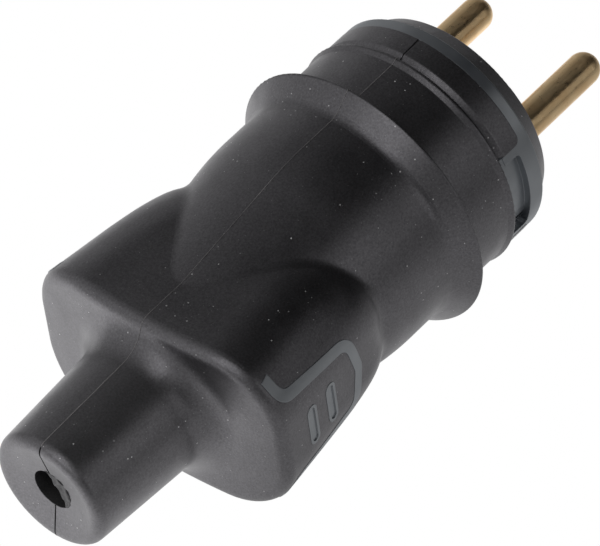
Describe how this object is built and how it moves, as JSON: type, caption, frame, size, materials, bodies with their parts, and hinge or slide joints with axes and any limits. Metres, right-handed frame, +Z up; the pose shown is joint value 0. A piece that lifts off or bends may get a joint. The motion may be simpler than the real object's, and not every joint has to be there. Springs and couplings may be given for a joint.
{
  "type": "rubber mains plug",
  "caption": "Straight rewireable rubber mains plug with round pins, an earth-pin hole in its face, a splash collar, a flared grip with grey inlays and a tapered cable sleeve.",
  "frame": {"origin": "centre of the engagement face, midway between the pins where they leave it", "axes": "+X along the pins to their tips, +Y across the pins, +Z up through the mould seam on the grip's flat top"},
  "size_m": [0.1033, 0.0426, 0.0414],
  "materials": {
    "rubber": "matte, fine grain",
    "inlay": "satin",
    "insulator": "matte",
    "brass": "brushed",
    "steel": "zinc-plated"
  },
  "bodies": {
    "root": {"housing": "rubber", "left_stripe": "inlay", "right_stripe": "inlay", "left_rear_bar": "inlay", "left_front_bar": "inlay", "right_rear_bar": "inlay", "right_front_bar": "inlay", "front_ring": "inlay", "front_plate": "insulator", "pin_carrier": "insulator", "cord_clamp": "insulator", "line_pin": "brass", "neutral_pin": "brass", "earth_socket": "brass", "terminal_screws": "steel", "carrier_screws": "steel", "clamp_screws": "steel", "line_leaf": "steel", "neutral_leaf": "steel", "earth_leaf": "steel"}
  },
  "joints": []
}
